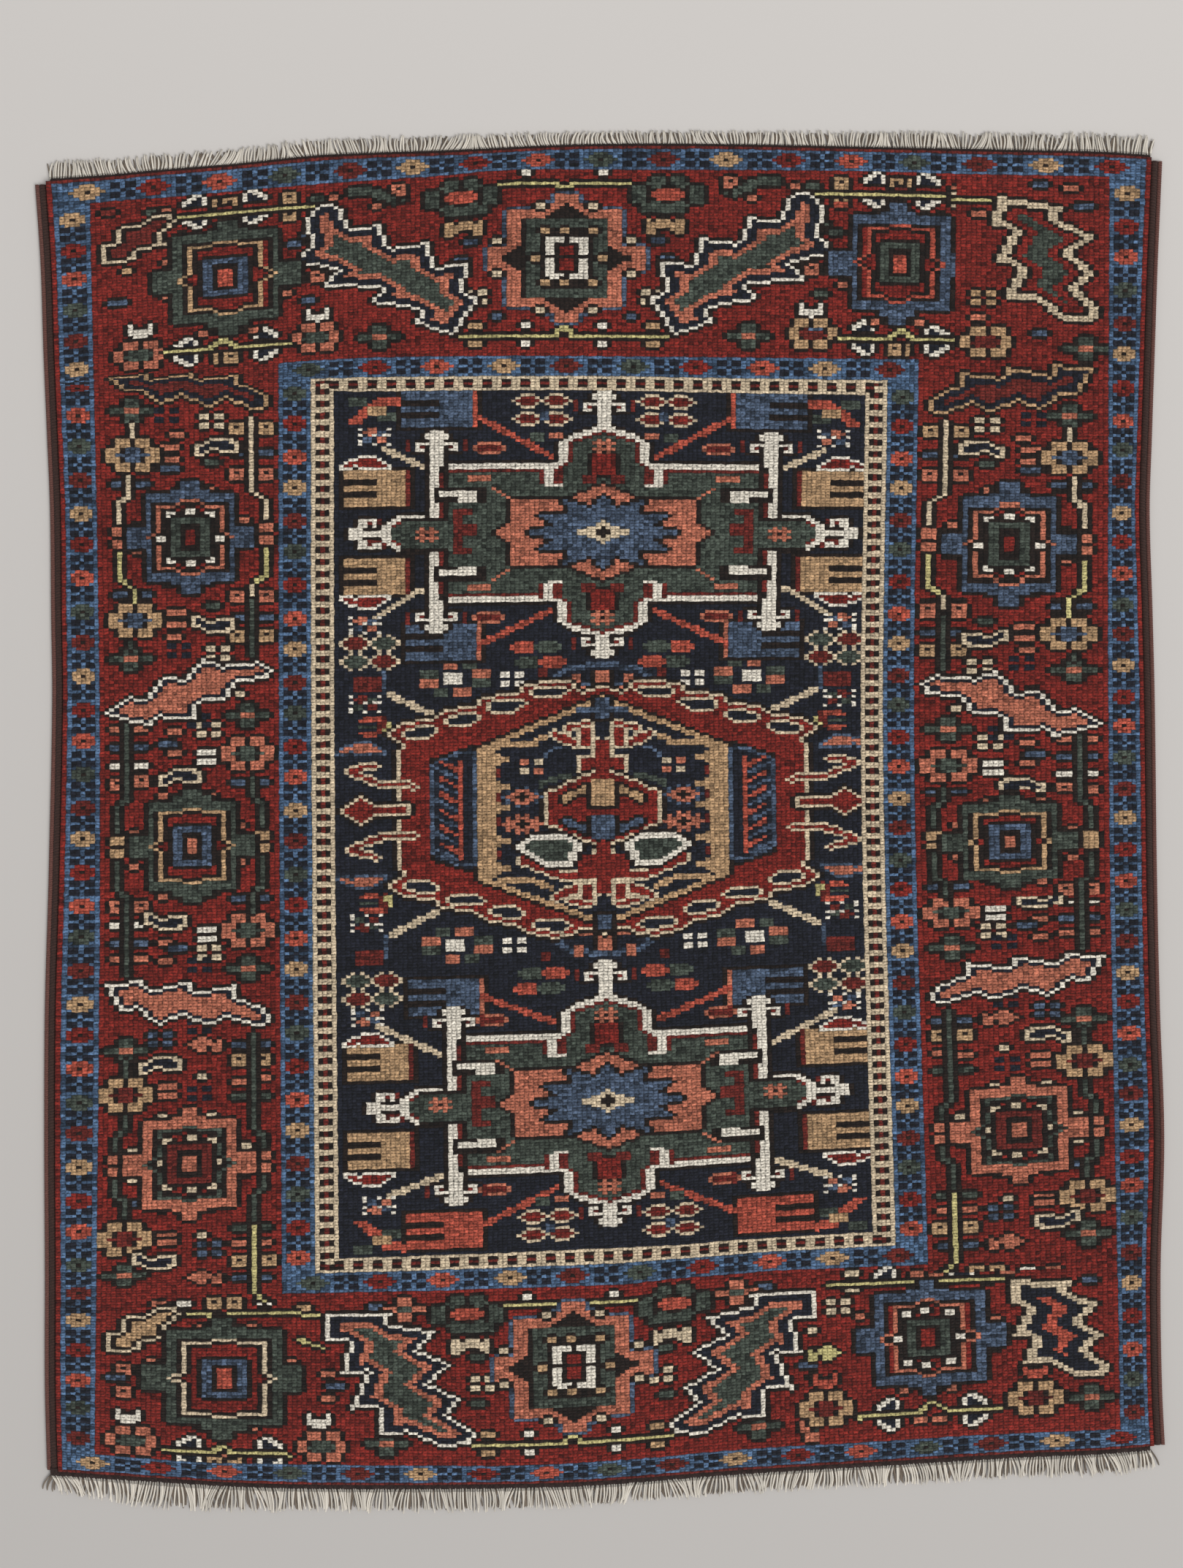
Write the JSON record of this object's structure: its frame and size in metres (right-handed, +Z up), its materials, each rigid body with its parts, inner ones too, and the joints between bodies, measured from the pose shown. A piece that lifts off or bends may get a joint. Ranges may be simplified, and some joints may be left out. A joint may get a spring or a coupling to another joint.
{
  "type": "persian rug",
  "caption": "Flat rectangular hand knotted rug with a thick wool pile, wrapped long sides and a short looped fringe at both ends.",
  "frame": {"origin": "middle of the rug's outer box, on its underside", "axes": "+X across the rug, +Y along the warps towards the end that is at the top of the picture, +Z up out of the pile"},
  "size_m": [1.3168, 1.6026, 0.008],
  "materials": {
    "pile": "knotted wool pile, matt, madder red with navy, blue, green, tan and ivory",
    "selvedge": "overcast dark brown wool beside a smooth maroon brown cord",
    "fringe": "undyed warp cotton, matt"
  },
  "bodies": {
    "root": {"pile_carpet": "pile", "selvedge_left": "selvedge", "selvedge_right": "selvedge", "fringe_top": "fringe", "fringe_bottom": "fringe"}
  },
  "joints": []
}
